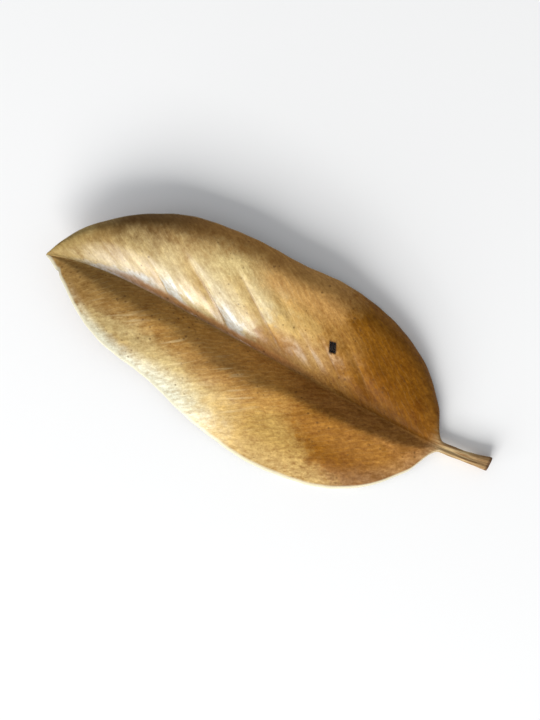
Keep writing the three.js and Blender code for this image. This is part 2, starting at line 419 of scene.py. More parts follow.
def add_rib(far, near, place):
    """The midrib under both halves: a half-ellipse from each lower face at the rib's foot to the keel."""
    feet = [h.lower[:, RIB_COLUMNS : RIB_COLUMNS + 1] for h in (far, near)]
    keel = (feet[0] + feet[1]) / 2 - smooth_through(RIB_PLACES, RIB_DEPTH)(place)[:, None]
    for h, foot in zip((far, near), feet):
        in_rib = h.distance < h.rib
        round_off = np.sqrt(np.clip(1 - (h.distance / h.rib) ** 2, 0, 1))
        h.lower = np.where(in_rib, foot + (keel - foot) * round_off, h.lower)
        h.lower_out = np.where(in_rib, h.out, h.lower_out)


def stalk_share(place):
    """How far the blade has run over into the stalk."""
    return smooth_step(*BLADE_TO_STALK, place)[:, None]


def stalk_ridges(place, angle):
    """The stalk's ridges as a factor on its radius, at an angle from its top."""
    factor = 1
    for height, number, turn in STALK_RIDGES:
        factor = factor + height * np.sin(number * angle + turn * place)
    return factor


def half_faces(h, place):
    """A half's upper and lower face as points, run over into the stalk, and its paint's way across."""
    stalk = stalk_share(place)
    at = place[:, None]
    share = np.linspace(0, 1, COLUMNS)[None, :]
    turn = STALK_SIDE_TURN * share
    half_width = smooth_through(RIB_PLACES, RIB_HALF_WIDTH)(place)[:, None]
    depth = smooth_through(RIB_PLACES, RIB_DEPTH)(place)[:, None]
    rise = smooth_through(RIB_PLACES, RIB_RISE)(place)[:, None] + STALK_EXTRA_RISE
    channel = STALK_CHANNEL * np.exp(-((share / STALK_CHANNEL_WIDTH) ** 2))
    above = stalk_ridges(at, h.side * turn)
    below = stalk_ridges(at, h.side * (math.pi - turn))
    midrib = smooth_through(FOLD_PLACES, MIDRIB_HEIGHT)(place)[:, None]

    def placed(out, height, stalk_out, stalk_height):
        out = out * (1 - stalk) + stalk_out * stalk
        height = height * (1 - stalk) + stalk_height * stalk
        return np.stack([h.along, midrib_side(h.along) + h.side * out, midrib + height], 2)

    stalk_upper = rise * np.cos(turn) * above - channel
    stalk_lower = -depth * np.cos(turn) * below
    upper = placed(h.upper_out, h.upper, half_width * np.sin(turn) * above, stalk_upper)
    lower = placed(h.lower_out, h.lower, half_width * np.sin(turn) * below, stalk_lower)
    across = h.side * (h.distance * (1 - stalk) + half_width * turn * stalk)
    return upper, lower, across


def rim_of(upper, lower, side):
    """The rounded edge, as a half turn from the upper face to the lower one."""
    middle = (upper[:, -1] + lower[:, -1]) / 2
    half_chord = (upper[:, -1] - lower[:, -1]) / 2
    outward = np.stack([np.zeros(len(upper)), side * half_chord[:, 2], -side * half_chord[:, 1]], 1)
    points = []
    for i in range(1, RIM_POINTS + 1):
        swing = math.pi / 2 - math.pi * i / (RIM_POINTS + 1)
        points.append(middle + half_chord * math.sin(swing) + outward * math.cos(swing))
    return np.stack(points, 1)


def ring_of(far_upper, near_upper, near_rim, near_lower, far_lower, far_rim):
    """One ring for each place: over the top from the far margin to the near one, and back underneath."""
    parts = [far_upper[:, ::-1], near_upper[:, 1:], near_rim]
    parts += [near_lower[:, ::-1], far_lower[:, 1:], far_rim[:, ::-1]]
    return np.concatenate(parts, 1)


def ringed(far, near):
    """The ring of a value that is the same on the upper and the lower face."""
    near_rim = np.repeat(near[:, -1:], RIM_POINTS, 1)
    far_rim = np.repeat(far[:, -1:], RIM_POINTS, 1)
    return ring_of(far, near, near_rim, near, far, far_rim)


def upper_at(i, j):
    """The number of the far half's point in column j of ring i, on the upper face."""
    return i * AROUND + COLUMNS - 1 - j


def lower_at(i, j):
    """The number of the point under it, on the lower face."""
    return i * AROUND + UPPER_COUNT + RIM_POINTS + COLUMNS - 1 + j


def round_stalk_end(points, place):
    """The stalk's end is rounded over and a little dished, where it came off the twig."""
    length = DRAWN_LENGTH - STALK_END_START
    t = np.clip((place - STALK_END_START) / length, 0, 1)
    narrowed = np.cos(STALK_END_NARROWS * t**STALK_END_ROUNDNESS)[:, None, None]
    middle = points.mean(1, keepdims=True)
    points[..., 1:] = middle[..., 1:] + (points[..., 1:] - middle[..., 1:]) * narrowed
    dished = STALK_END_START + length * np.sin(STALK_END_TURN * t)
    points[..., 0] = np.where(t > 0, dished, place)[:, None]


def hole_corners():
    long_edge = np.array(HOLE_HALF_LONG)
    short_edge = np.array(HOLE_HALF_SHORT)
    return [a * long_edge + b * short_edge for a, b in ((-1, -1), (1, -1), (1, 1), (-1, 1))]


def hole_reach(angle):
    """The hole's outline: its reach from its middle in each direction."""
    long_x, long_y = HOLE_HALF_LONG
    short_x, short_y = HOLE_HALF_SHORT
    area = abs(long_x * short_y - long_y * short_x)
    along_long = np.abs(np.cos(angle) * short_y - np.sin(angle) * short_x) / area
    along_short = np.abs(long_x * np.sin(angle) - long_y * np.cos(angle)) / area
    return 1 / np.maximum(along_long, along_short)


def move_to_hole(points, far, plan, inside):
    """Moves the points round the hole's cells onto its outline, with one on each corner."""
    touched = np.zeros(far.along.shape, int)
    for i, j in zip(*np.nonzero(inside)):
        touched[i : i + 2, j : j + 2] += 1
    border = list(zip(*np.nonzero((touched > 0) & (touched < 4))))
    goals = {}
    for i, j in border:
        reach = hole_reach(math.atan2(plan[i, j, 1], plan[i, j, 0]))
        goals[i, j] = plan[i, j] * reach / np.hypot(*plan[i, j])
    for corner in hole_corners():
        closest = min(border, key=lambda at: np.hypot(*(goals[at] - corner)))
        goals[closest] = corner
    for (i, j), goal in goals.items():
        shift = goal - plan[i, j]
        rise = math.tan(far.slope[i, j]) * shift[1]
        for index in (upper_at(i, j), lower_at(i, j)):
            points[index] += (shift[0], shift[1], rise)


def open_hole(points, far):
    """Opens the insect hole. Returns the cells to leave out and the hole's walls."""
    centre = np.array([HOLE_PLACE, HOLE_ACROSS])
    plan = np.stack([far.along, midrib_side(far.along) + far.out], 2) - centre
    cells = (plan[1:, 1:] + plan[:-1, 1:] + plan[1:, :-1] + plan[:-1, :-1]) / 4
    inside = np.hypot(cells[..., 0], cells[..., 1]) < hole_reach(np.arctan2(cells[..., 1], cells[..., 0]))
    move_to_hole(points, far, plan, inside)

    left_out = set()
    walls = []
    for i, j in zip(*np.nonzero(inside)):
        left_out.add((i, COLUMNS - 2 - j))
        left_out.add((i, UPPER_COUNT + RIM_POINTS + COLUMNS - 1 + j))
        # The edges of the upper cell, in order round it, with the neighbour across each.
        edges = [
            ((i, j + 1), (i, j), (i - 1, j)),
            ((i, j), (i + 1, j), (i, j - 1)),
            ((i + 1, j), (i + 1, j + 1), (i + 1, j)),
            ((i + 1, j + 1), (i, j + 1), (i, j + 1)),
        ]
        for start, end, beyond in edges:
            if not inside[beyond]:
                walls.append((upper_at(*start), upper_at(*end), lower_at(*end), lower_at(*start)))
    return left_out, walls


def skin_faces(rings, left_out):
    """Four-cornered faces between the rings, and a fan round a middle point at each end."""
    faces = []
    for i in range(rings - 1):
        ring = i * AROUND
        next_ring = ring + AROUND
        for k in range(AROUND):
            if (i, k) in left_out:
                continue
            after = (k + 1) % AROUND
            faces.append((ring + k, ring + after, next_ring + after, next_ring + k))
    last = (rings - 1) * AROUND
    tip_middle = rings * AROUND
    stalk_middle = tip_middle + 1
    for k in range(AROUND):
        after = (k + 1) % AROUND
        faces.append((after, k, tip_middle))
        faces.append((last + k, last + after, stalk_middle))
    return faces


def scar_and_hole_shade_of(points, along, across, to_edge):
    """How dark the leaf is round the hole and at the nick: their scars, and on the hole's walls painted
    shade.
    """
    from_hole = points[:, :2] - (HOLE_PLACE, HOLE_ACROSS)
    reach = hole_reach(np.arctan2(from_hole[:, 1], from_hole[:, 0]))
    beyond = np.hypot(from_hole[:, 0], from_hole[:, 1]) - reach
    at_hole = np.where(across > 0, smooth_step(HOLE_SCAR, 0.0, beyond), 0)
    from_nick = np.hypot(along - NICK_PLACE, to_edge)
    at_nick = np.where(across > 0, 0, NICK_SCAR * smooth_step(*NICK_SCAR_REACH, from_nick))
    return np.maximum(at_hole, at_nick)


def grow_leaf():
    """The leaf's skin: points in millimetres, faces, and what the paint needs to know at each point."""
    place = places_along()
    far = grown_half("far", place)
    near = grown_half("near", place)
    add_rib(far, near, place)
    far_upper, far_lower, far_across = half_faces(far, place)
    near_upper, near_lower, near_across = half_faces(near, place)
    far_rim = rim_of(far_upper, far_lower, far.side)
    near_rim = rim_of(near_upper, near_lower, near.side)
    rings = ring_of(far_upper, near_upper, near_rim, near_lower, far_lower, far_rim)
    round_stalk_end(rings, place)
    rings[..., 2] = np.maximum(rings[..., 2], 0)

    points = rings.reshape(-1, 3)
    left_out, walls = open_hole(points, far)
    faces = skin_faces(len(place), left_out) + walls
    along = np.repeat(place, AROUND)
    across = ringed(far_across, near_across).ravel()
    to_edge = ringed(far.to_edge, near.to_edge).ravel()
    over_edge = np.linspace(1, 0, RIM_POINTS + 2)[1:-1]
    face = np.concatenate([np.ones(UPPER_COUNT), over_edge, np.zeros(UPPER_COUNT), over_edge[::-1]])
    paint = dict(
        along=along,
        across=across,
        to_edge=to_edge,
        pleat=ringed(far.pleat, near.pleat).ravel(),
        seam=ringed(far.seam, near.seam).ravel(),
        face=np.tile(face, len(place)),
        lateral=lateral_of(along, np.abs(across)),
        stalk=np.repeat(stalk_share(place).ravel(), AROUND),
        scar=scar_and_hole_shade_of(points, along, across, to_edge),
    )

    # The two points that close the ends.
    points = np.concatenate([points, [rings[0].mean(0) - (TIP_POINT_LENGTH, 0, 0), rings[-1].mean(0)]])
    at_ends = dict(along=(0, DRAWN_LENGTH), face=(0.5, 0.5), stalk=(0, 1), lateral=(0, DRAWN_LENGTH))
    for name, values in paint.items():
        paint[name] = np.concatenate([values, at_ends.get(name, (0, 0))])
    return points, faces, paint


def leaf_object():
    """The leaf's mesh, fitted to the frame's leaf, with what the paint needs as its attributes."""
    points, faces, paint = grow_leaf()
    low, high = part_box("leaf")
    unit = (high.x - low.x) / DRAWN_LENGTH
    place = np.linspace(0, BLADE_LENGTH, OUTLINE_SAMPLES)
    far_reach = (midrib_side(place) + smooth_through(OUTLINE_PLACES, OUTLINE["far"])(place)).max()
    near_reach = (midrib_side(place) - smooth_through(OUTLINE_PLACES, OUTLINE["near"])(place)).min()
    start = np.array([low.x, (low.y + high.y) / 2 - unit * (far_reach + near_reach) / 2, low.z])
    mesh = bpy.data.meshes.new("dried_leaf")
    mesh.from_pydata((points * unit + start).tolist(), [], faces)
    for name, values in paint.items():
        mesh.attributes.new(name, "FLOAT", "POINT").data.foreach_set("value", values.astype(np.float32))
    mesh.polygons.foreach_set("use_smooth", np.ones(len(mesh.polygons), bool))
    mesh.validate()
    leaf = bpy.data.objects.new("dried_leaf", mesh)
    bpy.context.scene.collection.objects.link(leaf)
    return leaf


class Wiring:
    """A material's nodes, joined up by short calls. A value is a number, a colour or a node's output."""

    # The numbers of the Mix node's sockets for colours, which share their names with its other sockets.
    FIRST_COLOUR = 6
    SECOND_COLOUR = 7
    MIXED_COLOUR = 2

    def __init__(self, name):
        self.material = bpy.data.materials.new(name)
        self.material.use_nodes = True
        self.tree = self.material.node_tree
        self.shader = self.tree.nodes["Principled BSDF"]

    def give(self, socket, value):
        if isinstance(value, bpy.types.NodeSocket):
            self.tree.links.new(value, socket)
        elif isinstance(value, tuple):
            socket.default_value = (*value, 1)
        else:
            socket.default_value = value

    def set_shader(self, name, value):
        self.give(self.shader.inputs[name], value)

    def node(self, kind, values=None, **settings):
        made = self.tree.nodes.new("ShaderNode" + kind)
        for key, value in settings.items():
            setattr(made, key, value)
        for key, value in (values or {}).items():
            self.give(made.inputs[key], value)
        return made

    def known(self, name):
        return self.node("Attribute", attribute_name=name).outputs["Fac"]

    def maths(self, operation, *values):
        return self.node("Math", dict(enumerate(values)), operation=operation).outputs[0]

    def product(self, first, *others):
        for other in others:
            first = self.maths("MULTIPLY", first, other)
        return first

    def opposite(self, value):
        return self.maths("SUBTRACT", 1.0, value)

    def swung(self, value, pattern, amount):
        """A value that a pattern pushes up and down."""
        return self.maths("MULTIPLY_ADD", self.maths("SUBTRACT", pattern, 0.5), amount, value)

    def vector(self, x, y, z):
        return self.node("CombineXYZ", {"X": x, "Y": y, "Z": z}).outputs[0]

    def band(self, value, low, high, start=0.0, end=1.0):
        values = {"Value": value, "From Min": low, "From Max": high, "To Min": start, "To Max": end}
        return self.node("MapRange", values, interpolation_type="SMOOTHSTEP").outputs[0]

    def noise(self, vector, scale, detail=3.0, roughness=0.5):
        values = {"Vector": vector, "Scale": scale, "Detail": detail, "Roughness": roughness}
        return self.node("TexNoise", values).outputs[0]

    def cells(self, vector, scale, feature):
        made = self.node("TexVoronoi", {"Vector": vector, "Scale": scale}, feature=feature)
        return made.outputs["Distance"]

    def mix(self, factor, first, second, blend="MIX"):
        made = self.node("Mix", data_type="RGBA", blend_type=blend)
        self.give(made.inputs["Factor"], factor)
        self.give(made.inputs[self.FIRST_COLOUR], first)
        self.give(made.inputs[self.SECOND_COLOUR], second)
        return made.outputs[self.MIXED_COLOUR]

    def mix_numbers(self, factor, first, second):
        return self.node("Mix", {"Factor": factor, "A": first, "B": second}).outputs[0]

    def ramp(self, factor, stops):
        made = self.node("ValToRGB")
        self.give(made.inputs[0], factor)
        elements = made.color_ramp.elements
        while len(elements) < len(stops):
            elements.new(0.5)
        for element, (place, colour) in zip(elements, stops):
            element.position = place
            element.color = (*colour, 1)
        return made.outputs[0]


# The paints. Colours are linear red, green and blue. An amount of paint is a number, the name of a pattern
# or a band. A band names a way over the leaf, then where on it the paint begins and where it is full and,
# where that isn't 0 and 1, how strong it is at both ends. Ways along the leaf are in millimetres from the
# tip, ways out are from the midrib, and ways in are from the margin.


def amount_of(w, p, amount):
    if isinstance(amount, str):
        return getattr(p, amount)
    if isinstance(amount, tuple):
        way, *band = amount
        return w.band(getattr(p, way), *band)
    return amount


def all_of(w, p, amounts):
    """How much paint there is if all the amounts have to allow it."""
    return w.product(*[amount_of(w, p, amount) for amount in amounts])


def painted(w, p, ground, paints):
    """The ground with paints over it, one after the other, each with its colour and its amounts."""
    for colour, amounts in paints.values():
        if isinstance(colour, str):
            colour = getattr(p, colour)
        ground = w.mix(all_of(w, p, amounts), ground, colour)
    return ground


# Where a point is on the far half and on the upper face, and how far apart their patterns are taken.
FAR_HALF = ("across", -0.3, 0.3)
UPPER_FACE = ("face", 0.3, 0.7)
FACES_APART = 60
HALVES_APART = 30

# Noise patterns: how many to a millimetre, how detailed and how rough. The drawn-out ones lie along the
# blade's grain, which leans from the midrib's direction, and begin with how slowly they change along it.
FLAT_NOISE = {
    "mottle": (0.05, 5, 0.6),
    "blotch": (0.15, 5, 0.6),
    "patch": (0.42, 4, 0.6),
    "grain": (1.1, 3, 0.65),
}
GRAIN_LEAN = math.radians(33)
DRAWN_OUT_NOISE = {
    "streaks": (0.16, 0.5, 2.5, 0.5),
    "strokes": (0.1, 0.55, 1, 0.5),
    "flecks": (0.38, 0.9, 3, 0.6),
}
FIBRE_ALONG = 0.12
FIBRE_ACROSS = 1.5
FIBRE_NOISE = (1, 4, 0.6)

# Fine side veins, the net between them, and specks.
VEINS_TO_A_MILLIMETRE = 0.34
VEIN_SWAY = 1.8
VEIN_SWAY_NOISE = (0.12, 2)
FINE_VEIN = [("vein_off", 0.12, 0.02), ("patch", 0.38, 0.6), ("to_edge", 3, 14)]
NET_SCALE = 0.8
NET = ("net_off", 0.12, 0)
SPECK_SCALE = 0.4
SPECK_NOISE = (0.09, 3)
SPECK_SIZES = (0.4, 0.7, 0.06, 0.34)
SPECK_MIDDLE = 0.02


def leaf_patterns(w):
    """What the paint knows of each point, and patterns in the leaf's own lines, from broad to fine."""
    p = SimpleNamespace()
    for name in ("along", "across", "face", "to_edge", "lateral", "stalk", "scar", "pleat", "seam"):
        setattr(p, name, w.known(name))
    p.off_rib = w.maths("ABSOLUTE", p.across)
    p.on_far = amount_of(w, p, FAR_HALF)
    p.on_near = w.opposite(p.on_far)
    p.above = amount_of(w, p, UPPER_FACE)

    layer = w.maths("MULTIPLY", p.face, FACES_APART)
    flat = w.vector(p.along, p.across, layer)
    for name, noise in FLAT_NOISE.items():
        setattr(p, name, w.noise(flat, *noise))
    half_layer = w.maths("MULTIPLY_ADD", p.on_far, HALVES_APART, layer)
    sine = math.sin(GRAIN_LEAN)
    cosine = math.cos(GRAIN_LEAN)
    over_grain = w.maths("MULTIPLY_ADD", p.along, sine, w.maths("MULTIPLY", p.off_rib, cosine))
    with_grain = w.maths("MULTIPLY_ADD", p.along, cosine, w.maths("MULTIPLY", p.off_rib, -sine))
    for name, (slowly, *noise) in DRAWN_OUT_NOISE.items():
        drawn_out = w.vector(over_grain, w.maths("MULTIPLY", with_grain, slowly), half_layer)
        setattr(p, name, w.noise(drawn_out, *noise))
    fibre_along = w.maths("MULTIPLY", p.along, FIBRE_ALONG)
    fibre_across = w.maths("MULTIPLY", p.across, FIBRE_ACROSS)
    p.fibres = w.noise(w.vector(fibre_along, fibre_across, layer), *FIBRE_NOISE)

    sway = w.maths("MULTIPLY", w.noise(flat, *VEIN_SWAY_NOISE), VEIN_SWAY)
    vein_count = w.maths("ADD", w.maths("MULTIPLY", p.lateral, VEINS_TO_A_MILLIMETRE), sway)
    p.vein_off = w.maths("ABSOLUTE", w.maths("SUBTRACT", w.maths("FRACT", vein_count), 0.5))
    p.fine_vein = all_of(w, p, FINE_VEIN)
    p.net_off = w.cells(flat, NET_SCALE, "DISTANCE_TO_EDGE")
    p.net = amount_of(w, p, NET)
    speck_size = w.band(w.noise(flat, *SPECK_NOISE), *SPECK_SIZES)
    p.speck = w.band(w.cells(flat, SPECK_SCALE, "F1"), speck_size, SPECK_MIDDLE)
    return p


# Ways with ragged borders: the way that each follows, and how much of the patterns' wander it takes.
BROAD_WANDER = 10
FINE_WANDER = 5
RAGGED_WAYS = {
    "ragged_edge": ("to_edge", 1),
    "soft_edge": ("to_edge", 0.4),
    "ragged_rib": ("off_rib", 0.6),
    "soft_rib": ("off_rib", 0.2),
    "ragged_along": ("along", 2.5),
}

# Ways that are stretched at some places along the leaf, so that their paints are narrower there.
STRETCHED_WAYS = {
    "bloom_out": ("ragged_rib", [("along", 20, 46, 3.6, 1)]),
    "tip_out": ("ragged_rib", [("along", 12, 36, 2.2, 1)]),
    "strip_and_shade_out": ("ragged_rib", [("along", 28, 72, 1.12, 0.86)]),
    "margin_in": ("ragged_edge", [("along", 18, 38, 1.5, 1), ("along", 45, 75, 1, 1.4)]),
    "cream_and_sheen_in": ("soft_edge", [("along", 28, 70, 1.9, 0.75)]),
}

# Ways that slant: the end of the far half's bloom and painted highlight leans with the pleats, and the near
# half's gold has a slanting border. Streaks and patches push the borders beside the pleats about.
BLOOM_AND_HIGHLIGHT_LEAN = -0.4
NEAR_GOLD_BORDER = 114
NEAR_GOLD_SLANT = 0.83
PLEAT_STREAKS = 0.9
PLEAT_PATCHES = 0.7


def paint_ways(w, p):
    """The ways over the leaf that its paints follow."""
    p.wander = w.swung(w.swung(0.0, p.blotch, BROAD_WANDER), p.patch, FINE_WANDER)
    for name, (way, share) in RAGGED_WAYS.items():
        setattr(p, name, w.maths("MULTIPLY_ADD", p.wander, share, getattr(p, way)))
    for name, (way, stretches) in STRETCHED_WAYS.items():
        setattr(p, name, all_of(w, p, [way, *stretches]))
    p.leaning_along = w.maths("MULTIPLY_ADD", p.off_rib, BLOOM_AND_HIGHLIGHT_LEAN, p.ragged_along)
    from_border = w.maths("SUBTRACT", p.ragged_along, NEAR_GOLD_BORDER)
    p.slanting_in = w.maths("MULTIPLY_ADD", from_border, NEAR_GOLD_SLANT, p.to_edge)
    p.ragged_pleat = w.swung(w.swung(p.pleat, p.streaks, PLEAT_STREAKS), p.patch, PLEAT_PATCHES)


# Darker towards the base: partly the leaf's own ochre, partly painted shade.
GOLD_AND_SHADE_ALONG = [
    (0.0, (0.36, 0.25, 0.09)),
    (0.12, (0.40, 0.285, 0.115)),
    (0.28, (0.52, 0.385, 0.165)),
    (0.45, (0.58, 0.44, 0.19)),
    (0.58, (0.50, 0.315, 0.10)),
    (0.66, (0.36, 0.18, 0.04)),
    (0.75, (0.225, 0.088, 0.006)),
    (0.83, (0.195, 0.071, 0.003)),
    (1.0, (0.17, 0.06, 0.003)),
]
NEAR_GOLD_SHIFT = [("to_edge", 2, 24, -1, 12), "on_near"]
FAR_GOLD_SHIFT = [("off_rib", 18, 32, -3, 7), "on_far"]
MOTTLE_TINT = (0.78, 0.64, 0.44)
MOTTLED = ("mottle", 0.48, 0.64, 0, 0.5)


def gold_ground(w, p):
    """Khaki gold at the tip to dark orange ochre at the base, darker there partly by its own colour and
    partly by painted shade. The gold goes on further at the near half's margin and beside the far half's
    midrib."""
    shift = w.maths("ADD", all_of(w, p, NEAR_GOLD_SHIFT), all_of(w, p, FAR_GOLD_SHIFT))
    way = w.maths("DIVIDE", w.maths("ADD", p.ragged_along, shift), BLADE_LENGTH)
    return w.mix(amount_of(w, p, MOTTLED), w.ramp(way, GOLD_AND_SHADE_ALONG), MOTTLE_TINT, "MULTIPLY")


# Where the far half's pale bloom lies, partly its own waxy bloom and partly painted sheen, and where it is
# a
# silvery painted highlight: on the sides of the pleats that face the tip and the light, and near the leaf's
# tip beside the midrib.
BLOOM_AND_HIGHLIGHT = ["on_far", ("ragged_along", 8, 26), ("leaning_along", 84, 77)]
SILVER_BESIDE_PLEATS = [("ragged_pleat", 0.05, 0.35), ("bloom_out", 15, 8)]
SILVER_TOWARDS_TIP = [("along", 48, 38), ("tip_out", 8, 5)]

# Colours that change along the leaf.
# The far half's margin: its own brown and painted shade where it curls away from the light, darkest at the
# tip.
TIP_MARGIN_AND_SHADE = (0.10, 0.04, 0.006)
FAR_MARGIN_AND_SHADE = (0.32, 0.145, 0.028)
TIP_TO_FAR_MARGIN_AND_SHADE = ("along", 30, 62)
# The near half's strip beside the midrib: its own brown, deepened with painted shade where it faces away
# from the light.
STRIP_AND_SHADE_ALONG = [
    (0.06, (0.25, 0.14, 0.04)),
    (0.20, (0.265, 0.132, 0.027)),
    (0.36, (0.40, 0.195, 0.038)),
    (0.50, (0.47, 0.225, 0.048)),
]

# The upper face's paints, each over the ones before it, and then the fine marks over them.
UPPER_PAINTS = {
    "far half's tan stretch": (
        (0.50, 0.27, 0.083),
        [("ragged_rib", 22, 30, 0, 0.8), ("along", 70, 84), ("ragged_along", 120, 106), "on_far"],
    ),
    "brown beside the midrib, after the bloom": (
        (0.30, 0.14, 0.04),
        [("ragged_rib", 17, 9, 0, 0.8), ("leaning_along", 76, 82), ("along", 112, 98), "on_far"],
    ),
    # Partly the bloom's own pale gold, partly painted sheen, stronger on the pleats' lit sides.
    "pale gold bloom": (
        (0.51, 0.435, 0.27),
        ["bloom", ("bloom_out", 32, 14, 0, 0.75), ("pleat", -0.25, 0.35)],
    ),
    # Painted highlight: the light's silvery gloss on the bloom, painted into its colour.
    "silvery bloom": ((0.52, 0.56, 0.585), ["bloom", "silvery", ("flecks", 0.3, 0.55, 0.3, 0.6)]),
    "shaded sides of the pleats": (
        (0.36, 0.20, 0.055),
        [("pleat", -0.1, -0.6, 0, 0.38), ("along", 125, 95, 0.3, 1)],
    ),
    # Painted shade: a darker line at the bottom of each pleat, where shade falls in the groove.
    "painted shade in the seams of the pleats": ((0.22, 0.11, 0.03), [("seam", 0.2, 0.75, 0, 0.6)]),
    # Partly the margin's own brown, partly painted shade where the far half curls down away from the light.
    "far half's brown margin and painted shade": (
        "margin_colour",
        [("margin_in", 22, 5, 0, 0.9), ("along", 110, 70, 0.3, 1), ("along", 8, 24, 0.1, 1), "on_far"],
    ),
    "sheen before the far half's base": (
        (0.52, 0.44, 0.36),
        [
            ("ragged_along", 92, 106),
            ("ragged_along", 126, 106),
            ("ragged_rib", 4, 10),
            ("ragged_rib", 21, 11),
            ("pleat", 0, 0.3, 0.08, 0.5),
            "on_far",
        ],
    ),
    "near half's gold stretch": (
        (0.42, 0.26, 0.07),
        [("slanting_in", 26, 14, 0, 0.9), ("ragged_along", 90, 104), "on_near"],
    ),
    # Partly the strip's own brown, partly painted shade on the near half's inner flank.
    "near half's brown strip and painted shade beside the midrib": (
        "strip_colour",
        [("strip_and_shade_out", 23.5, 14.5), ("along", 112, 88, 0.35, 0.9), "on_near"],
    ),
    # Painted shade along the strip's outer border, where the near half bends.
    "painted shade along the border of the strip": (
        (0.26, 0.135, 0.035),
        [
            ("strip_and_shade_out", 8, 14),
            ("strip_and_shade_out", 26, 15, 0, 0.55),
            ("along", 45, 72),
            ("along", 106, 92),
            "on_near",
        ],
    ),
    "end of the strip at the base": (
        (0.36, 0.165, 0.05),
        [("ragged_rib", 14, 9), ("along", 98, 114, 0, 0.4), "on_near"],
    ),
    # Partly the margin's own pale cream, partly painted sheen where the near margin faces the light.
    "near half's cream margin and painted sheen": (
        (0.67, 0.67, 0.53),
        [
            ("cream_and_sheen_in", 11, 1, 0, 0.85),
            ("ragged_along", 88, 68, 0.1, 1),
            ("ragged_along", 10, 32),
            ("flecks", 0.3, 0.6, 0.85, 1),
            "on_near",
        ],
    ),
    "reddish far side of the fold": (
        (0.42, 0.19, 0.06),
        [("soft_rib", 4.6, 2.4, 0, 0.85), ("along", 14, 40), ("along", 122, 92, 0.1, 1), "on_far"],
    ),
    # Painted light: a lighter tan in the deep fold, against the shade that falls there.
    "tan painted light on the near side of the fold": (
        (0.40, 0.24, 0.08),
        [("off_rib", 4.5, 1, 0, 0.5), ("along", 90, 60), "on_near"],
    ),
}
FINE_MARKS = {
    "dark blotches at the base": (
        (0.14, 0.05, 0.003),
        [("blotch", 0.5, 0.66, 0, 0.5), ("ragged_along", 98, 122)],
    ),
    "light blotches at the base": (
        (0.35, 0.155, 0.018),
        [("blotch", 0.48, 0.34, 0, 0.25), ("ragged_along", 98, 122)],
    ),
    "near half's pale strokes": (
        (0.70, 0.56, 0.30),
        [
            ("strokes", 0.58, 0.74, 0, 0.35),
            ("along", 110, 80),
            ("off_rib", 8, 16),
            ("to_edge", 4, 14),
            "on_near",
        ],
    ),
    "fine veins": ((0.66, 0.54, 0.30), ["fine_vein", ("along", 115, 85, 0.05, 0.15)]),
    "net of the veins": ((0.18, 0.085, 0.015), ["net", 0.10]),
    "specks": ((0.10, 0.045, 0.012), ["speck", 0.7]),
}

# Unevenness of tone, in which darker tones are warmer. The base is the most uneven part.
TONE_WEIGHTS = {"blotch": 0.5, "patch": 0.3, "grain": 0.4, "streaks": 0.4, "flecks": 0.8}
TONE_TINTS = [(0.0, (0.50, 0.35, 0.19)), (0.5, (1.0, 1.0, 1.0)), (1.0, (1.65, 1.75, 1.85))]
MIDDLE_TONE = 0.5
FAR_CONTRAST = 0.9
NEAR_CONTRAST = 1.15
BASE_CONTRAST = 1.5
TO_BASE_CONTRAST = ("along", 95, 118)


def uneven_tone(w, p):
    tone = 0.0
    for pattern, weight in TONE_WEIGHTS.items():
        tone = w.swung(tone, getattr(p, pattern), weight)
    contrast = w.mix_numbers(p.on_near, FAR_CONTRAST, NEAR_CONTRAST)
    contrast = w.mix_numbers(amount_of(w, p, TO_BASE_CONTRAST), contrast, BASE_CONTRAST)
    return w.ramp(w.maths("MULTIPLY_ADD", tone, contrast, MIDDLE_TONE), TONE_TINTS)


def upper_face(w, p, uneven):
    """The gold ground with its paints, and fine marks over it."""
    p.bloom = all_of(w, p, BLOOM_AND_HIGHLIGHT)
    p.silvery = w.maths("MAXIMUM", all_of(w, p, SILVER_BESIDE_PLEATS), all_of(w, p, SILVER_TOWARDS_TIP))
    p.margin_colour = w.mix(amount_of(w, p, TIP_TO_FAR_MARGIN_AND_SHADE), TIP_MARGIN_AND_SHADE, FAR_MARGIN_AND_SHADE)
    p.strip_colour = w.ramp(w.maths("DIVIDE", p.along, BLADE_LENGTH), STRIP_AND_SHADE_ALONG)
    upper = painted(w, p, gold_ground(w, p), UPPER_PAINTS)
    upper = w.mix(1.0, upper, uneven, "MULTIPLY")
    return painted(w, p, upper, FINE_MARKS)


# The underside: matte rusty felt with a tan midrib.
FELT_DARK = (0.17, 0.078, 0.03)
FELT_PALE = (0.23, 0.115, 0.05)
FELT_MOTTLED = ("mottle", 0.3, 0.7)
FELT_MARKS = {
    "fine veins": ((0.30, 0.17, 0.08), ["fine_vein", 0.3]),
    "net of the veins": ((0.11, 0.05, 0.02), ["net", 0.25]),
    "midrib": ((0.40, 0.26, 0.12), [("off_rib", 2, 1.2)]),
}


def underside(w, p, uneven):
    felt = w.mix(amount_of(w, p, FELT_MOTTLED), FELT_DARK, FELT_PALE)
    felt = w.mix(1.0, felt, uneven, "MULTIPLY")
    return painted(w, p, felt, FELT_MARKS)


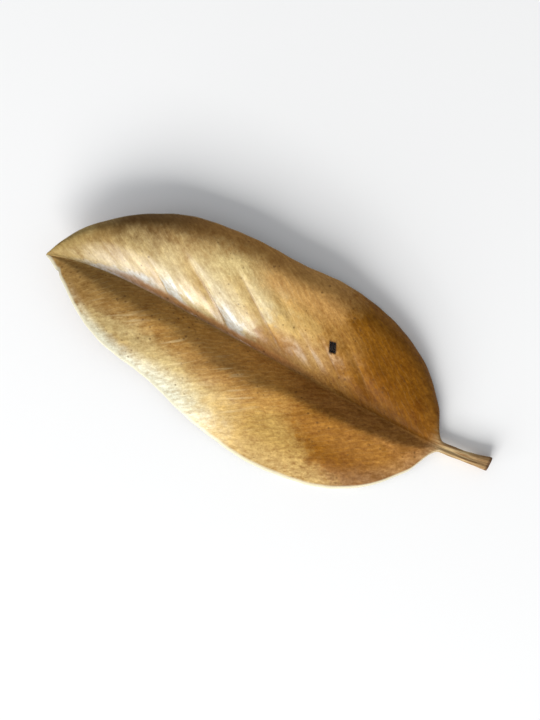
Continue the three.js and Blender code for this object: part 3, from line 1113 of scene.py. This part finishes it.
# The edge's width and amount of cream are given for the far half and the near half. The cream is partly
# the edge's own pale rim and partly painted light, where the near half's edge catches the light.
EDGE_CREAM_AND_SHEEN = (0.68, 0.64, 0.47)
EDGE_WIDTH = (0.9, 1.7)
EDGE_FULL_WIDTH = 0.3
EDGE_AMOUNT = (0.15, 0.9)
STALK_PALE = (0.50, 0.36, 0.18)
STALK_BROWN = (0.24, 0.125, 0.05)
STALK_PAINTS = {
    "fibres": (STALK_BROWN, [("fibres", 0.38, 0.66)]),
    "brown towards the end": (STALK_BROWN, [("along", 177, 186, 0, 0.6)]),
    "dark end": ((0.13, 0.07, 0.035), [("along", 186.6, 187.3)]),
    "scar where it left the twig": ((0.30, 0.20, 0.12), [("along", 187.65, 187.9)]),
}
# Near-black round the hole and at the nick: partly their scars' own brown, partly painted shade on the
# hole's walls.
SCARS_AND_HOLE_SHADE = {"hole and nick": ((0.06, 0.026, 0.01), ["scar", 0.95])}


def edges_and_stalk(w, p, colour):
    """A cream edge, partly its own pale rim and partly painted light, so strongest on the near half which
    faces the lamps; the streaked stalk with its dark end; and the scars, which on the hole's walls are
    partly painted shade.
    """
    rim = w.band(p.to_edge, w.mix_numbers(p.on_near, *EDGE_WIDTH), EDGE_FULL_WIDTH)
    cream = w.product(rim, w.mix_numbers(p.on_near, *EDGE_AMOUNT))
    colour = w.mix(cream, colour, EDGE_CREAM_AND_SHEEN)
    colour = w.mix(p.stalk, colour, painted(w, p, STALK_PALE, STALK_PAINTS))
    return painted(w, p, colour, SCARS_AND_HOLE_SHADE)


# A waxy gloss above, patchy, strongest beside the midrib of the far half. The underside is matte.
UPPER_ROUGHNESS = 0.55
ROUGHNESS_PATCHES = 0.5
UNDER_ROUGHNESS = 0.88
STALK_ROUGHNESS = 0.62
GLOSS_UNDER_WAX = 0.05
FAR_WAX = ["on_far", ("ragged_edge", 3, 18, 0.08, 1), ("ragged_rib", 17, 6, 0.4, 1)]
NEAR_WAX = ["on_near", ("ragged_rib", 8, 22, 0.1, 0.4)]
WAX = [
    ("ragged_along", 6, 30, 0.4, 1),
    ("ragged_along", 96, 76, 0.03, 1),
    ("streaks", 0.3, 0.66, 0.35, 0.8),
    "above",
]
WAX_ROUGHNESS = 0.28
WAX_INDEX = 1.7


def leaf_gloss(w, p):
    rough = w.swung(UPPER_ROUGHNESS, p.patch, ROUGHNESS_PATCHES)
    rough = w.mix_numbers(p.above, UNDER_ROUGHNESS, rough)
    w.set_shader("Roughness", w.mix_numbers(p.stalk, rough, STALK_ROUGHNESS))
    w.set_shader("Specular IOR Level", GLOSS_UNDER_WAX)
    wax = w.maths("ADD", all_of(w, p, FAR_WAX), all_of(w, p, NEAR_WAX))
    wax = w.product(wax, all_of(w, p, WAX), w.opposite(p.scar), w.opposite(p.stalk))
    w.set_shader("Coat Weight", wax)
    w.set_shader("Coat Roughness", WAX_ROUGHNESS)
    w.set_shader("Coat IOR", WAX_INDEX)


# Small relief, in millimetres: dents, grain, fine veins and their net, and the stalk's fibres.
RELIEF = {"blotch": 0.5, "patch": 0.22, "grain": 0.08, "flecks": 0.06, "fine_vein": 0.04, "net": -0.02}
FIBRE_RELIEF = 0.35
RELIEF_STRENGTH = 0.7
MILLIMETRE = 0.001


def leaf_relief(w, p):
    height = w.product(p.fibres, p.stalk, FIBRE_RELIEF)
    for pattern, depth in RELIEF.items():
        height = w.maths("MULTIPLY_ADD", getattr(p, pattern), depth, height)
    bump = w.node("Bump", {"Strength": RELIEF_STRENGTH, "Distance": MILLIMETRE, "Height": height})
    w.set_shader("Normal", bump.outputs[0])


def leaf_material():
    w = Wiring("dried_leaf")
    p = leaf_patterns(w)
    paint_ways(w, p)
    uneven = uneven_tone(w, p)
    colour = w.mix(p.above, underside(w, p, uneven), upper_face(w, p, uneven))
    w.set_shader("Base Color", edges_and_stalk(w, p, colour))
    leaf_gloss(w, p)
    leaf_relief(w, p)
    return w.material


FLOOR_REACH = 12.0
FLOOR_COLOUR = (0.93, 0.93, 0.925)
FLOOR_ROUGHNESS = 0.8
FLOOR_GLOSS = 0.2


def floor_object():
    w = Wiring("floor")
    w.set_shader("Base Color", FLOOR_COLOUR)
    w.set_shader("Roughness", FLOOR_ROUGHNESS)
    w.set_shader("Specular IOR Level", FLOOR_GLOSS)
    mesh = bpy.data.meshes.new("floor")
    corners = [(x * FLOOR_REACH, y * FLOOR_REACH, 0) for x, y in ((-1, -1), (1, -1), (1, 1), (-1, 1))]
    mesh.from_pydata(corners, [], [(0, 1, 2, 3)])
    mesh.materials.append(w.material)
    floor = bpy.data.objects.new("floor", mesh)
    bpy.context.scene.collection.objects.link(floor)
    return floor


def soft_light(name, place, target, size, power, colour):
    light = bpy.data.lights.new(name, "AREA")
    light.shape = "RECTANGLE"
    light.size, light.size_y = size
    light.energy = power
    light.color = colour
    lamp = bpy.data.objects.new(name, light)
    lamp.location = place
    lamp.rotation_euler = (Vector(target) - Vector(place)).to_track_quat("-Z", "Y").to_euler()
    lamp.visible_camera = False
    bpy.context.scene.collection.objects.link(lamp)


# The leaf stands for the solid.
leaf = leaf_object()
leaf.data.materials.append(leaf_material())
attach(leaf, "root")
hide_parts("leaf")

floor = floor_object()
floor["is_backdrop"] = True

# The picture's directions on the floor: the midrib runs down to the right, 26 degrees below level.
MIDRIB_FALL = math.radians(26.3)
picture_right = Vector((math.cos(MIDRIB_FALL), math.sin(MIDRIB_FALL), 0))
picture_up = Vector((-math.sin(MIDRIB_FALL), math.cos(MIDRIB_FALL), 0))

# The photograph looks straight down, and is 540 by 720 pixels. The leaf fills most of the frame's width.
CAMERA_DISTANCE = 0.62
FRAME_WIDTH = 0.21
FRAME_ASPECT = 720 / 540
camera_data = bpy.data.cameras.new("camera")
camera_data.sensor_fit = "AUTO"
camera_data.lens = camera_data.sensor_width * CAMERA_DISTANCE / (FRAME_WIDTH * FRAME_ASPECT)
camera = bpy.data.objects.new("camera", camera_data)
low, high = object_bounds()
aim = Vector(((low.x + high.x) / 2, (low.y + high.y) / 2, low.z))
turn = Matrix((picture_right, picture_up, Vector((0, 0, 1)))).transposed().to_4x4()
camera.matrix_world = Matrix.Translation(aim + Vector((0, 0, CAMERA_DISTANCE))) @ turn
bpy.context.scene.collection.objects.link(camera)
bpy.context.scene.camera = camera

# Soft light from below the picture and its left: how far down, left and up each lamp stands from the leaf,
# its width and height, its power and its colour. An even pale surround fills in.
LAMPS = {
    "key": ((2.2, 0.8, 1.35), (2.0, 1.4), 84.0, (1.0, 0.99, 0.975)),
    "window": ((1.6, 1.9, 0.6), (2.4, 0.7), 34.0, (0.95, 0.97, 1.0)),
}
SURROUND_COLOUR = (0.95, 0.97, 1.0, 1)
SURROUND_STRENGTH = 0.44
for name, ((down, left, up), size, power, colour) in LAMPS.items():
    place = aim - picture_up * down - picture_right * left + Vector((0, 0, up))
    soft_light(name, place, aim, size, power, colour)
world = bpy.data.worlds.new("surround")
world.use_nodes = True
world.node_tree.nodes["Background"].inputs["Color"].default_value = SURROUND_COLOUR
world.node_tree.nodes["Background"].inputs["Strength"].default_value = SURROUND_STRENGTH
bpy.context.scene.world = world
bpy.context.scene.view_settings.view_transform = "Standard"
